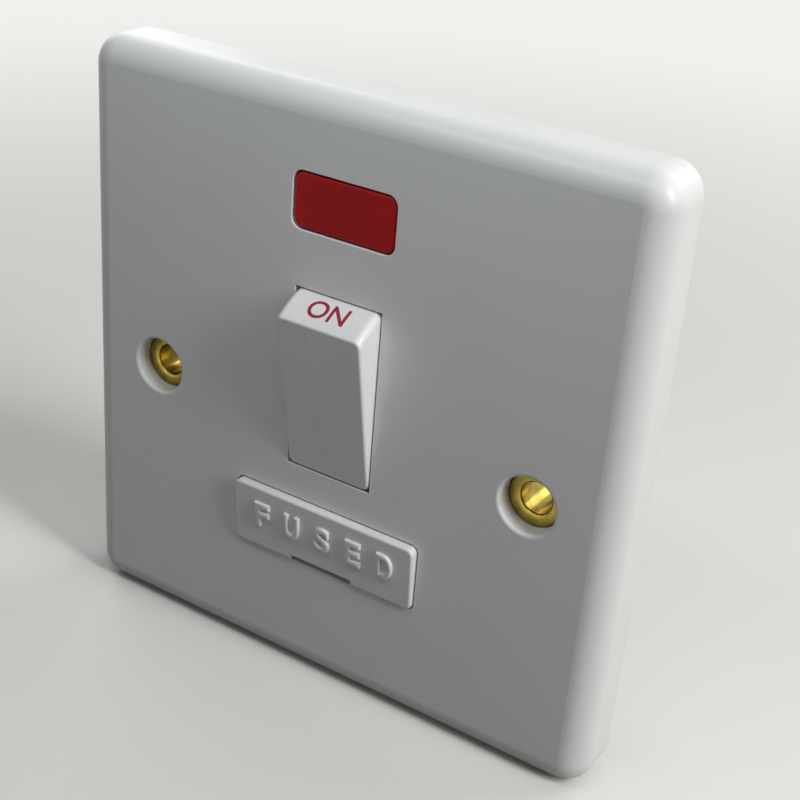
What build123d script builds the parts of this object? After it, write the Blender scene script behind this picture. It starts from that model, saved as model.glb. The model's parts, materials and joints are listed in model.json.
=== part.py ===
import os
from math import acos, asin, cos, degrees, radians, sin, sqrt

from build123d import *

os.makedirs("parts", exist_ok=True)

# Switched fused connection unit with a neon, for a one-gang wall box.
# Millimetres: X to the right, Y into the wall, Z up. The origin lies on the wall plane, midway
# between the two fixing screws. A value that ends in _front is a distance in front of the wall
# plane, so what lies inside the wall box has a negative one.

# Gaps
loose_fit = 0.05      # radial gap of a piece that turns or sits in a round seat
slide_gap = 0.2       # gap round a piece that slides
seat_gap = 0.1        # gap of a piece that drops into its place
pick = 0.01           # tolerance for picking edges by their place

# Cover plate
plate_width = 86.0
plate_height = 86.0
plate_depth = 8.4
plate_rise = 2.6      # plate centre above the line of the fixing screws
corner_radius = 4.2
edge_rounding = 3.6
rim_wall = 2.5
face_wall = 2.6
floor_rounding = 1.5
opening_edge = 0.1
rib_thickness = 1.2
rib_height = 2.6
rib_root = 1.0        # how far a rib runs into what it meets, both ends together
floor_front = plate_depth - face_wall
cavity_width = plate_width - 2 * rim_wall
cavity_height = plate_height - 2 * rim_wall
cavity_radius = corner_radius - rim_wall

# Fixing wells, eyelets and earth strap
fixing_spacing = 60.3
fixing_x = fixing_spacing / 2
well_radius = 4.0
well_lip = 0.5
well_depth = 3.0
pillar_wall = 1.2
pillar_front = 1.2
eyelet_bore_radius = 2.2
eyelet_wall = 0.3
eyelet_flange = 0.6
eyelet_flange_edge = 0.2
eyelet_flare = 0.5      # rounding from the flange into the bore
eyelet_curl_radius = 3.3
eyelet_curl = 0.4
strap_thickness = 0.8
strap_width = 5.0
strap_lug_radius = 4.6
strap_rim_gap = 2.0
strap_corner = 2.0
strap_tab_z = -6.0
strap_tab_width = 4.0
well_seat_front = plate_depth - well_depth
pillar_radius = well_radius + pillar_wall
eyelet_radius = eyelet_bore_radius + eyelet_wall
eyelet_flange_radius = well_radius - seat_gap
strap_front = pillar_front - strap_thickness
strap_run_z = plate_rise - cavity_height / 2 + strap_rim_gap + strap_width / 2

# Neon window
neon_width = 15.4
neon_height = 7.5
neon_corner = 1.3
neon_z = 31.0
lens_inset = 0.1
lens_gap = 0.22
lens_edge = 0.4
lens_wall = 1.3
lens_flange = 1.1
lens_flange_side = 0.7
lens_flange_end = 1.4
lens_back_front = 2.2
holder_width = 17.0
holder_height = 9.2
holder_thickness = 1.4
cradle_thickness = 1.2
cradle_spacing = 6.0
cradle_height = 4.6
cradle_rise = 1.2
hook_thickness = 1.2
hook_height = 5.0
hook_lip = 0.6
lamp_radius = 1.9
lamp_length = 10.0
lamp_front = 4.4
lead_radius = 0.35
lead_bend = 0.6
lead_drop_x = 11.5
lead_front = -0.6
resistor_radius = 1.15
resistor_length = 6.0
resistor_z = 19.0
lens_front = plate_depth - lens_inset
holder_front = lens_back_front - holder_thickness

# Rocker: its end faces are arcs about the trunnions, so the gap in the plate stays even
rocker_width = 13.3
rocker_length = 23.74
rocker_face_height = 6.8     # face above the trunnion axis
rocker_wall = 1.5
rocker_edge = 0.4
rocker_corner = 1.0
pivot_depth = 4.43           # trunnion axis behind the plate's face
pivot_z = 6.05
on_tilt = 11.0
swing_gap = 0.2
side_gap = 0.18
skirt_reach = 2.2
trunnion_radius = 1.5
trunnion_reach = 2.7
ear_thickness = 2.5
ear_height = 8.0
ear_front = 0.5
sleeve_radius = 2.2
sleeve_reach = 4.5
pivot_front = plate_depth - pivot_depth
swing_radius = sqrt((rocker_length / 2) ** 2 + rocker_face_height ** 2)
opening_width = rocker_width + 2 * side_gap
ear_x = opening_width / 2 + slide_gap + ear_thickness / 2

# Rear base
base_width = 50.0
base_top = 25.4
base_bottom = -28.0
base_depth = 16.0
base_wall = 1.6
base_back = 2.0
base_corner = 2.0
base_edge = 0.8
plateau_front = -9.0         # floor under the contacts
plateau_half = 12.9
base_screw_inset = 4.4
screw_boss_radius = 3.0
screw_pillar_radius = 2.5
base_screw_radius = 1.45
base_screw_head_radius = 2.7
base_screw_head = 1.8
base_screw_sink = 0.4
base_screw_grip = 3.8
column_front = base_back - base_depth
base_height = base_top - base_bottom
base_z = (base_top + base_bottom) / 2
base_screw_x = base_width / 2 - base_screw_inset
base_screw_top_z = base_top - base_screw_inset
base_screw_bottom_z = base_bottom + base_screw_inset

# Terminals
terminal_width = 6.8
terminal_height = 8.0
terminal_depth = 9.0
terminal_edge = 0.6
upper_row_z = 13.4
middle_row_z = 1.0
wire_radius = 2.1
wire_above_floor = 5.4
wire_window = 6.2
terminal_screw_radius = 1.25
terminal_screw_head_radius = 2.5
terminal_screw_head = 1.6
terminal_screw_lift = 0.3
terminal_access_radius = 3.0
screw_slot_width = 0.8
screw_slot_depth = 0.7
terminal_x = base_width / 2 - base_wall - terminal_width / 2
terminal_inner_x = terminal_x - terminal_width / 2
terminal_top_front = column_front + terminal_depth
wire_front = column_front + wire_above_floor
terminal_screw_bore = terminal_screw_radius + loose_fit

# Switch contacts
pole_x = 3.1
strip_thickness = 0.8
strip_width = 4.0
saddle_height = 2.0
saddle_length = 4.3
saddle_drop = 0.3            # saddle's top behind the pivot axis
arm_overlap = 0.3
knuckle_radius = 0.9
bar_length = 18.0
bar_width = 4.0
bar_thickness = 1.0
bar_lift = 0.27              # bar's rear face in front of its pivot axis
bar_end_radius = 1.0
contact_tilt = 6.0
tip_radius = 1.5
tip_thickness = 0.8
tip_offset = 7.5             # moving tip from the pivot axis
tip_dome_radius = 3.0
contact_gap = 0.06
plunger_radius = 1.45
plunger_nose = 1.2
plunger_head = -1.0          # plunger's inner end, in front of the trunnion axis
plunger_gap = 0.1
spring_wire = 0.2
spring_turns = 5
strip_front = plateau_front + strip_thickness
contact_axis_front = strip_front + saddle_height + saddle_drop
plunger_reach = pivot_front - (contact_axis_front + bar_lift + bar_thickness) - plunger_gap
arm_width = strip_width
arm_z = pivot_z - saddle_length / 2 - arm_width / 2 + arm_overlap

# Fuse and its carrier
carrier_width = 30.2
carrier_height = 10.0
carrier_z = -17.4
carrier_corner = 1.0
carrier_edge = 0.4
carrier_proud_top = 1.2
carrier_proud_bottom = 0.45
carrier_head = 3.9
carrier_collar_wall = 1.2
carrier_collar_front = 1.5
carrier_slot_width = 10.4
carrier_slot_height = 0.85
carrier_slot_depth = 3.6
fuse_length = 25.4
fuse_radius = 3.175
fuse_cap_length = 6.3
fuse_cap_wall = 0.25
fuse_gap = 0.7
cradle_wall = 1.35
carrier_grip = 12.0
carrier_grip_reach = 1.6
leg_inner_x = 13.6
leg_thickness = 1.2
leg_width = 4.0
leg_floor_gap = 0.6
leg_hook = 1.1
leg_hook_depth = 1.0
clip_x = 9.5
clip_width = 5.0
clip_thickness = 0.7
clip_gap = 0.1
clip_reach = 1.9
head_front = plate_depth - carrier_head
fuse_front = head_front - fuse_gap - fuse_radius
ceramic_radius = fuse_radius - fuse_cap_wall - loose_fit
leg_end_front = column_front + leg_floor_gap
lower_row_z = carrier_z + leg_width / 2 + 2 * slide_gap + terminal_height / 2
clip_height = 2 * (fuse_radius + clip_gap + clip_thickness)

both_sides = (-1, 1)
poles = (("live", -1), ("neutral", 1))
base_screw_rows = (base_screw_top_z, base_screw_bottom_z)
base_screws_at = [(side * base_screw_x, row_z) for side in both_sides for row_z in base_screw_rows]


# Cover plate: rounded shell with its wells, bearings, collar and pillars
with BuildPart() as front_plate:
    with BuildSketch(Plane.XZ):
        with Locations((0, plate_rise)):
            RectangleRounded(plate_width, plate_height, corner_radius)
    extrude(amount=plate_depth)
    fillet(front_plate.faces().sort_by(Axis.Y)[0].edges(), edge_rounding)
    with BuildSketch(Plane.XZ):
        with Locations((0, plate_rise)):
            RectangleRounded(cavity_width, cavity_height, cavity_radius)
    extrude(amount=floor_front, mode=Mode.SUBTRACT)
    floor = front_plate.edges().filter_by_position(Axis.Y, -floor_front - pick, -floor_front + pick)
    fillet(floor, floor_rounding)

    # Ribs from the wells to the rim
    with BuildSketch(Plane.XZ.offset(floor_front - rib_height)):
        for side in both_sides:
            with Locations((side * (fixing_x + cavity_width / 2) / 2, 0)):
                Rectangle(cavity_width / 2 - fixing_x + rib_root, rib_thickness)
            with Locations((side * fixing_x, plate_rise)):
                Rectangle(rib_thickness, cavity_height)
    extrude(amount=rib_height + face_wall / 2)

    # Pillars of the fixing wells, and of the screws that hold the base
    with BuildSketch(Plane.XZ.offset(pillar_front)):
        with Locations((-fixing_x, 0), (fixing_x, 0)):
            Circle(pillar_radius)
    extrude(amount=floor_front - pillar_front + face_wall / 2)
    with BuildSketch(Plane.XZ):
        with Locations(*base_screws_at):
            Circle(screw_pillar_radius)
            Circle(base_screw_radius + loose_fit, mode=Mode.SUBTRACT)
    extrude(amount=floor_front)

    # Bearings for the rocker's trunnions, open to the back
    with BuildSketch(Plane.XZ.offset(ear_front)):
        with Locations((-ear_x, pivot_z), (ear_x, pivot_z)):
            Rectangle(ear_thickness, ear_height)
    extrude(amount=floor_front - ear_front + face_wall / 2)
    with BuildSketch(Plane.YZ):
        with Locations((-pivot_front, pivot_z)):
            Circle(trunnion_radius + loose_fit)
        with Locations((-pivot_front / 2, pivot_z)):
            Rectangle(pivot_front, 2 * (trunnion_radius + loose_fit))
    extrude(amount=ear_x + ear_thickness, both=True, mode=Mode.SUBTRACT)

    # Collar that guides the fuse carrier, and hooks that hold the neon's tray
    with BuildSketch(Plane.XZ.offset(carrier_collar_front)):
        with Locations((0, carrier_z)):
            RectangleRounded(
                carrier_width + 2 * (slide_gap + carrier_collar_wall),
                carrier_height + 2 * (slide_gap + carrier_collar_wall),
                carrier_corner + slide_gap + carrier_collar_wall,
            )
    extrude(amount=floor_front - carrier_collar_front + face_wall / 2)
    hook_x = holder_width / 2 + seat_gap + hook_thickness / 2
    lip_front = holder_front - seat_gap - hook_lip
    with BuildSketch(Plane.XZ.offset(lip_front)):
        with Locations((-hook_x, neon_z), (hook_x, neon_z)):
            Rectangle(hook_thickness, hook_height)
    extrude(amount=floor_front - lip_front + face_wall / 2)
    with BuildSketch(Plane.XZ.offset(lip_front)):
        for side in both_sides:
            with Locations((side * (hook_x - hook_lip / 2), neon_z)):
                Rectangle(hook_thickness + hook_lip, hook_height)
    extrude(amount=hook_lip)

    # Openings through the face
    with BuildSketch(Plane.YZ):
        with Locations((-pivot_front, pivot_z)):
            Circle(swing_radius + swing_gap)
    extrude(amount=opening_width / 2, both=True, mode=Mode.SUBTRACT)
    with BuildSketch(Plane.XZ):
        with Locations((0, carrier_z)):
            RectangleRounded(
                carrier_width + 2 * slide_gap, carrier_height + 2 * slide_gap, carrier_corner + slide_gap
            )
    extrude(amount=plate_depth, mode=Mode.SUBTRACT)
    with BuildSketch(Plane.XZ):
        with Locations((0, neon_z)):
            RectangleRounded(neon_width + 2 * lens_gap, neon_height + 2 * lens_gap, neon_corner + lens_gap)
    extrude(amount=plate_depth, mode=Mode.SUBTRACT)
    with BuildSketch(Plane.XZ.offset(well_seat_front)):
        with Locations((-fixing_x, 0), (fixing_x, 0)):
            Circle(well_radius)
    extrude(amount=well_depth, mode=Mode.SUBTRACT)
    with BuildSketch(Plane.XZ):
        with Locations((-fixing_x, 0), (fixing_x, 0)):
            Circle(eyelet_radius + loose_fit)
    extrude(amount=plate_depth, mode=Mode.SUBTRACT)
    mouths = front_plate.edges().filter_by(GeomType.CIRCLE)
    mouths = mouths.filter_by_position(Axis.Y, -plate_depth - pick, -plate_depth + pick)
    fillet(mouths.filter_by(lambda edge: abs(edge.radius - well_radius) < pick), well_lip)
    rims = front_plate.edges().filter_by_position(Axis.Y, -plate_depth - pick, -plate_depth + pick)
    rims = rims.filter_by_position(Axis.X, -carrier_width, carrier_width, inclusive=(False, False))
    rims = rims.filter_by_position(Axis.Z, carrier_z - carrier_height, neon_z + neon_height)
    rims = rims.filter_by(lambda edge: abs(edge.center().X) < fixing_x - pillar_radius)
    fillet(rims, opening_edge)
front_plate.part.label = "front_plate"
export_step(front_plate.part, "parts/front_plate.step")

# Brass eyelets, curled over the earth strap behind the pillars
for name, side in (("left_eyelet", -1), ("right_eyelet", 1)):
    with BuildPart() as eyelet:
        with BuildSketch(Plane.XZ.offset(strap_front)):
            with Locations((side * fixing_x, 0)):
                Circle(eyelet_radius)
        extrude(amount=well_seat_front - strap_front)
        with BuildSketch(Plane.XZ.offset(well_seat_front)):
            with Locations((side * fixing_x, 0)):
                Circle(eyelet_flange_radius)
        extrude(amount=eyelet_flange)
        with BuildSketch(Plane.XZ.offset(strap_front - eyelet_curl)):
            with Locations((side * fixing_x, 0)):
                Circle(eyelet_curl_radius)
        extrude(amount=eyelet_curl)
        with BuildSketch(Plane.XZ.offset(strap_front - eyelet_curl)):
            with Locations((side * fixing_x, 0)):
                Circle(eyelet_bore_radius)
        extrude(amount=plate_depth, mode=Mode.SUBTRACT)
        front_rims = eyelet.edges().filter_by(GeomType.CIRCLE).group_by(Axis.Y)[0]
        fillet(front_rims.sort_by(SortBy.RADIUS)[-1], eyelet_flange_edge)
        front_rims = eyelet.edges().filter_by(GeomType.CIRCLE).group_by(Axis.Y)[0]
        fillet(front_rims.sort_by(SortBy.RADIUS)[0], eyelet_flare)
    eyelet.part.label = name
    export_step(eyelet.part, f"parts/{name}.step")


def strap_outline(margin):
    """Return the earth strap's flat outline, widened all round by the margin."""
    tab_end_x = -terminal_x + strap_thickness / 2
    with BuildSketch() as outline:
        with Locations((0, strap_run_z)):
            Rectangle(fixing_spacing + strap_width + 2 * margin, strap_width + 2 * margin)
        with Locations((-fixing_x, strap_run_z / 2), (fixing_x, strap_run_z / 2)):
            Rectangle(strap_width + 2 * margin, -strap_run_z)
        with Locations((-fixing_x, 0), (fixing_x, 0)):
            Circle(strap_lug_radius + margin)
        with Locations(((tab_end_x - fixing_x) / 2, strap_tab_z)):
            Rectangle(tab_end_x + fixing_x, strap_tab_width + 2 * margin)
    return outline.sketch


# Earth strap: a flat strip between the eyelets, with a tab bent down to the earth terminal
flat_strap = strap_outline(0)
with BuildPart() as earth_strap:
    with BuildSketch(Plane.XZ.offset(strap_front)):
        add(flat_strap)
        with Locations((-fixing_x, 0), (fixing_x, 0)):
            Circle(eyelet_radius + loose_fit, mode=Mode.SUBTRACT)
    extrude(amount=strap_thickness)
    outer = earth_strap.edges().filter_by(Axis.Y)
    fillet(outer.group_by(Axis.Z)[0], strap_corner)
    with BuildSketch(Plane.XZ.offset(terminal_top_front)):
        with Locations((-terminal_x, strap_tab_z)):
            Rectangle(strap_thickness, strap_tab_width)
    extrude(amount=strap_front - terminal_top_front)
earth_strap.part.label = "earth_strap"
export_step(earth_strap.part, "parts/earth_strap.step")

# Neon lens: a red cup that stands in the window and seats on its flange
with BuildPart() as neon_lens:
    with BuildSketch(Plane.XZ.offset(lens_back_front)):
        with Locations((0, neon_z)):
            RectangleRounded(neon_width, neon_height, neon_corner)
    extrude(amount=lens_front - lens_back_front)
    with BuildSketch(Plane.XZ.offset(floor_front - lens_flange)):
        with Locations((0, neon_z)):
            RectangleRounded(
                neon_width + 2 * lens_flange_side, neon_height + 2 * lens_flange_end, neon_corner
            )
    extrude(amount=lens_flange)
    with BuildSketch(Plane.XZ.offset(lens_back_front)):
        with Locations((0, neon_z)):
            RectangleRounded(neon_width - 2 * lens_wall, neon_height - 2 * lens_wall, neon_corner / 2)
    extrude(amount=lens_front - lens_wall - lens_back_front, mode=Mode.SUBTRACT)
    fillet(neon_lens.faces().sort_by(Axis.Y)[0].edges(), lens_edge)
neon_lens.part.label = "neon_lens"
export_step(neon_lens.part, "parts/neon_lens.step")

# Tray behind the lens, with two cradles for the lamp
lead_x = lamp_length / 2 + lead_bend + lead_radius / 2
with BuildPart() as neon_holder:
    with BuildSketch(Plane.XZ.offset(holder_front)):
        with Locations((0, neon_z)):
            RectangleRounded(holder_width, holder_height, neon_corner)
        with Locations((-lead_x, neon_z), (lead_x, neon_z)):
            Circle(lead_radius + slide_gap, mode=Mode.SUBTRACT)
    extrude(amount=holder_thickness)
    with BuildSketch(Plane.XZ.offset(lens_back_front)):
        with Locations((-cradle_spacing / 2, neon_z), (cradle_spacing / 2, neon_z)):
            Rectangle(cradle_thickness, cradle_height)
    extrude(amount=cradle_rise)
    with BuildSketch(Plane.YZ):
        with Locations((-lamp_front, neon_z)):
            Circle(lamp_radius + loose_fit)
    extrude(amount=cradle_spacing, both=True, mode=Mode.SUBTRACT)
neon_holder.part.label = "neon_holder"
export_step(neon_holder.part, "parts/neon_holder.step")

# Glass lamp with rounded ends
with BuildPart() as neon_lamp:
    with BuildSketch(Plane.YZ):
        with Locations((-lamp_front, neon_z)):
            Circle(lamp_radius)
    extrude(amount=lamp_length / 2, both=True)
    fillet(neon_lamp.edges().filter_by(GeomType.CIRCLE), lamp_radius / 2)
neon_lamp.part.label = "neon_lamp"
export_step(neon_lamp.part, "parts/neon_lamp.step")

# Resistor in the live lead
with BuildPart() as neon_resistor:
    with BuildSketch(Plane.XY.offset(resistor_z - resistor_length / 2)):
        with Locations((-lead_drop_x, -lead_front)):
            Circle(resistor_radius)
    extrude(amount=resistor_length)
    fillet(neon_resistor.edges().filter_by(GeomType.CIRCLE), resistor_radius / 3)
neon_resistor.part.label = "neon_resistor"
export_step(neon_resistor.part, "parts/neon_resistor.step")

# Lamp leads: bare wires from the lamp to the two switched strips
resistor_top_z = resistor_z + resistor_length / 2
resistor_bottom_z = resistor_z - resistor_length / 2
live_from_lamp = (
    (-lamp_length / 2, -lamp_front, neon_z),
    (-lead_x, -lamp_front, neon_z),
    (-lead_x, -lead_front, neon_z),
    (-lead_drop_x, -lead_front, neon_z),
    (-lead_drop_x, -lead_front, resistor_top_z),
)
live_to_strip = (
    (-lead_drop_x, -lead_front, resistor_bottom_z),
    (-lead_drop_x, -lead_front, arm_z),
    (-lead_drop_x, -strip_front, arm_z),
)
neutral_to_strip = (
    (lamp_length / 2, -lamp_front, neon_z),
    (lead_x, -lamp_front, neon_z),
    (lead_x, -lead_front, neon_z),
    (lead_drop_x, -lead_front, neon_z),
    (lead_drop_x, -lead_front, arm_z),
    (lead_drop_x, -strip_front, arm_z),
)
with BuildPart() as neon_leads:
    for route in (live_from_lamp, live_to_strip, neutral_to_strip):
        with BuildLine() as path:
            FilletPolyline(*route, radius=lead_bend)
        with BuildSketch(Plane(origin=path.line @ 0, z_dir=path.line % 0)):
            Circle(lead_radius)
        sweep(path=path.line)
neon_leads.part.label = "neon_leads"
export_step(neon_leads.part, "parts/neon_leads.step")

# Rocker, modelled in its ON position: u runs up its face, v out of it, from the trunnion axis
tilt = radians(on_tilt)
rocker_up = (0, -sin(tilt), cos(tilt))
rocker_out = (0, -cos(tilt), -sin(tilt))
pivot_point = (0, -pivot_front, pivot_z)
rocker_side_plane = Plane(origin=pivot_point, x_dir=rocker_up, z_dir=(1, 0, 0))
rocker_face_plane = Plane(origin=pivot_point, x_dir=(1, 0, 0), z_dir=rocker_out)


def rocker_profile(radius, height, reach):
    """Return the rocker's side view: a flat face, two arcs about the axis and a straight back."""
    start = -degrees(asin(reach / radius))
    stop = 90 - degrees(acos(height / radius))
    with BuildSketch() as profile:
        with BuildLine():
            right_end = CenterArc((0, 0), radius, start, stop - start)
            left_end = CenterArc((0, 0), radius, 180 - stop, stop - start)
            Line(right_end @ 1, left_end @ 0)
            Line(left_end @ 1, right_end @ 0)
        make_face()
    return profile.sketch


rocker_outline = rocker_profile(swing_radius, rocker_face_height, skirt_reach)
rocker_hollow = rocker_profile(swing_radius - rocker_wall, rocker_face_height - rocker_wall, skirt_reach)
with BuildPart() as rocker:
    with BuildSketch(rocker_side_plane):
        add(rocker_outline)
    extrude(amount=rocker_width / 2, both=True)
    fillet(rocker.edges().filter_by(GeomType.CIRCLE), rocker_corner)
    fillet(rocker.faces().sort_by(Axis((0, 0, 0), rocker_out))[-1].edges(), rocker_edge)
    with BuildSketch(rocker_side_plane):
        add(rocker_hollow)
    extrude(amount=rocker_width / 2 - rocker_wall, both=True, mode=Mode.SUBTRACT)
    sleeve_length = sleeve_reach + rocker_face_height - rocker_wall
    with BuildSketch(rocker_face_plane.offset(-sleeve_reach)):
        with Locations((-pole_x, 0), (pole_x, 0)):
            Circle(sleeve_radius)
        Rectangle(2 * pole_x, rocker_wall)
    extrude(amount=sleeve_length + rocker_wall / 2)
    with BuildSketch(rocker_face_plane.offset(-sleeve_reach)):
        with Locations((-pole_x, 0), (pole_x, 0)):
            Circle(plunger_radius + loose_fit)
    extrude(amount=sleeve_length, mode=Mode.SUBTRACT)
    with BuildSketch(Plane.YZ.offset(rocker_width / 2 - rocker_wall / 2)):
        with Locations((-pivot_front, pivot_z)):
            Circle(trunnion_radius)
    extrude(amount=rocker_wall / 2 + trunnion_reach)
    mirror(about=Plane.YZ)
rocker.part.label = "rocker"
export_step(rocker.part, "parts/rocker.step")

# Plungers and their springs in the rocker's sleeves
spring_room = rocker_face_height - rocker_wall - plunger_head
for name, side in poles:
    with BuildPart() as plunger:
        with BuildSketch(rocker_face_plane.offset(-plunger_reach)):
            with Locations((side * pole_x, 0)):
                Circle(plunger_radius)
        extrude(amount=plunger_reach + plunger_head)
        nose = plunger.edges().filter_by(GeomType.CIRCLE).sort_by(Axis((0, 0, 0), rocker_out))[0]
        fillet(nose, plunger_nose)
    plunger.part.label = f"{name}_plunger"
    export_step(plunger.part, f"parts/{name}_plunger.step")

    spring_height = spring_room - 2 * (spring_wire + loose_fit)
    foot = rocker_face_plane.offset(plunger_head + spring_wire + loose_fit)
    with BuildPart() as plunger_spring:
        with BuildLine() as coil:
            Helix(
                pitch=spring_height / spring_turns,
                height=spring_height,
                radius=plunger_radius - 2 * spring_wire,
                center=foot.from_local_coords((side * pole_x, 0, 0)),
                direction=rocker_out,
            )
        with BuildSketch(Plane(origin=coil.line @ 0, z_dir=coil.line % 0)):
            Circle(spring_wire)
        sweep(path=coil.line)
    plunger_spring.part.label = f"{name}_plunger_spring"
    export_step(plunger_spring.part, f"parts/{name}_plunger_spring.step")

# Contact bars, tilted with their upper ends on the fixed contacts
lean = radians(contact_tilt)
bar_up = (0, sin(lean), cos(lean))
bar_back = (0, cos(lean), -sin(lean))
contact_axis = (0, -contact_axis_front, pivot_z)
bar_side_plane = Plane(origin=contact_axis, x_dir=bar_up, z_dir=(1, 0, 0))
bar_back_plane = Plane(origin=contact_axis, x_dir=(1, 0, 0), z_dir=bar_back)
for name, side in poles:
    with BuildPart() as moving_contact:
        with BuildSketch(bar_side_plane.offset(side * pole_x - bar_width / 2)):
            with Locations((0, bar_lift + bar_thickness / 2)):
                Rectangle(bar_length, bar_thickness)
            Circle(knuckle_radius)
        extrude(amount=bar_width)
        ends = moving_contact.edges().filter_by(Axis((0, 0, 0), bar_back))
        fillet(ends, bar_end_radius)
    moving_contact.part.label = f"{name}_moving_contact"
    export_step(moving_contact.part, f"parts/{name}_moving_contact.step")

with BuildPart() as moving_contact_tips:
    with BuildSketch(bar_back_plane.offset(-bar_lift)):
        with Locations((-pole_x, -tip_offset), (pole_x, -tip_offset)):
            Circle(tip_radius)
    extrude(amount=tip_thickness)
moving_contact_tips.part.label = "moving_contact_tips"
export_step(moving_contact_tips.part, "parts/moving_contact_tips.step")

# Fixed contacts: the dome's height brings it within the contact gap of the moving tip
tip_rise = tip_offset * cos(lean) + (bar_lift - tip_thickness) * sin(lean)
fixed_tip_z = pivot_z + tip_rise
dome_centre = (bar_lift - tip_thickness - tip_dome_radius - contact_gap - tip_rise * sin(lean)) / cos(lean)
dome_front = contact_axis_front + dome_centre + tip_dome_radius
dome_height = dome_front - strip_front
dome_edge = dome_height - tip_dome_radius + sqrt(tip_dome_radius ** 2 - tip_radius ** 2)
with BuildPart() as fixed_contact_tips:
    for name, side in poles:
        with BuildSketch(Plane(origin=(side * pole_x, -strip_front, fixed_tip_z), x_dir=(1, 0, 0))):
            with BuildLine():
                Polyline((0, -dome_height), (0, 0), (tip_radius, 0), (tip_radius, -dome_edge))
                RadiusArc((tip_radius, -dome_edge), (0, -dome_height), tip_dome_radius)
            make_face()
        revolve(axis=Axis((side * pole_x, 0, fixed_tip_z), (0, 1, 0)))
fixed_contact_tips.part.label = "fixed_contact_tips"
export_step(fixed_contact_tips.part, "parts/fixed_contact_tips.step")

strip_end_x = pole_x - strip_width / 2
for name, side in poles:
    with BuildPart() as fixed_contact:
        with BuildSketch(Plane.XZ.offset(plateau_front)):
            with Locations((side * (strip_end_x + terminal_inner_x) / 2, fixed_tip_z)):
                Rectangle(terminal_inner_x - strip_end_x, strip_width)
        extrude(amount=strip_thickness)
    fixed_contact.part.label = f"{name}_fixed_contact"
    export_step(fixed_contact.part, f"parts/{name}_fixed_contact.step")

# Saddle strips: each carries a bar's knuckle, and the live one goes on to the first fuse clip
arm_ends = {"live": lead_drop_x + strip_width / 4, "neutral": terminal_inner_x}
saddle_names = {"live": "fuse_supply_clip", "neutral": "neutral_pivot_strip"}
for name, side in poles:
    with BuildPart() as saddle_strip:
        with BuildSketch(Plane.XZ.offset(plateau_front)):
            with Locations((side * pole_x, pivot_z)):
                Rectangle(strip_width, saddle_length)
        extrude(amount=strip_thickness + saddle_height)
        with BuildSketch(Plane.YZ):
            with Locations((-contact_axis_front, pivot_z)):
                Circle(knuckle_radius + loose_fit)
        extrude(amount=2 * pole_x, both=True, mode=Mode.SUBTRACT)
        with BuildSketch(Plane.XZ.offset(plateau_front)):
            with Locations((side * (strip_end_x + arm_ends[name]) / 2, arm_z)):
                Rectangle(arm_ends[name] - strip_end_x, arm_width)
            if name == "live":
                with Locations((side * pole_x, (arm_z + carrier_z) / 2)):
                    Rectangle(strip_width, arm_z - carrier_z)
                clip_outer_x = clip_x + clip_width / 2
                with Locations((side * (strip_end_x + clip_outer_x) / 2, carrier_z)):
                    Rectangle(clip_outer_x - strip_end_x, clip_height)
        extrude(amount=strip_thickness)
        if name == "live":
            with BuildSketch(Plane.XZ.offset(plateau_front)):
                with Locations((side * clip_x, carrier_z)):
                    Rectangle(clip_width, clip_height)
                    Rectangle(clip_width, clip_height - 2 * clip_thickness, mode=Mode.SUBTRACT)
            extrude(amount=fuse_front + clip_reach - plateau_front)
    saddle_strip.part.label = saddle_names[name]
    export_step(saddle_strip.part, f"parts/{saddle_names[name]}.step")

# Second fuse clip, with an arm past the carrier's leg to the load terminal
with BuildPart() as fuse_load_clip:
    load_arm_z = lower_row_z - terminal_height / 2 + arm_width / 2
    clip_inner_x = clip_x - clip_width / 2
    with BuildSketch(Plane.XZ.offset(plateau_front)):
        with Locations((clip_x, carrier_z)):
            Rectangle(clip_width, clip_height)
        with Locations(((clip_inner_x + terminal_inner_x) / 2, load_arm_z)):
            Rectangle(terminal_inner_x - clip_inner_x, arm_width)
    extrude(amount=strip_thickness)
    with BuildSketch(Plane.XZ.offset(plateau_front)):
        with Locations((clip_x, carrier_z)):
            Rectangle(clip_width, clip_height)
            Rectangle(clip_width, clip_height - 2 * clip_thickness, mode=Mode.SUBTRACT)
    extrude(amount=fuse_front + clip_reach - plateau_front)
fuse_load_clip.part.label = "fuse_load_clip"
export_step(fuse_load_clip.part, "parts/fuse_load_clip.step")

# Cartridge fuse
with BuildPart() as fuse_body:
    with BuildSketch(Plane.YZ):
        with Locations((-fuse_front, carrier_z)):
            Circle(ceramic_radius)
    extrude(amount=fuse_length / 2 - fuse_cap_wall - loose_fit, both=True)
fuse_body.part.label = "fuse_body"
export_step(fuse_body.part, "parts/fuse_body.step")

with BuildPart() as fuse_caps:
    with BuildSketch(Plane.YZ.offset(fuse_length / 2 - fuse_cap_length)):
        with Locations((-fuse_front, carrier_z)):
            Circle(fuse_radius)
    extrude(amount=fuse_cap_length)
    fillet(fuse_caps.edges().group_by(Axis.X)[-1], fuse_cap_wall)
    with BuildSketch(Plane.YZ.offset(fuse_length / 2 - fuse_cap_length)):
        with Locations((-fuse_front, carrier_z)):
            Circle(fuse_radius - fuse_cap_wall)
    extrude(amount=fuse_cap_length - fuse_cap_wall, mode=Mode.SUBTRACT)
    mirror(about=Plane.YZ)
fuse_caps.part.label = "fuse_caps"
export_step(fuse_caps.part, "parts/fuse_caps.step")

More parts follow.
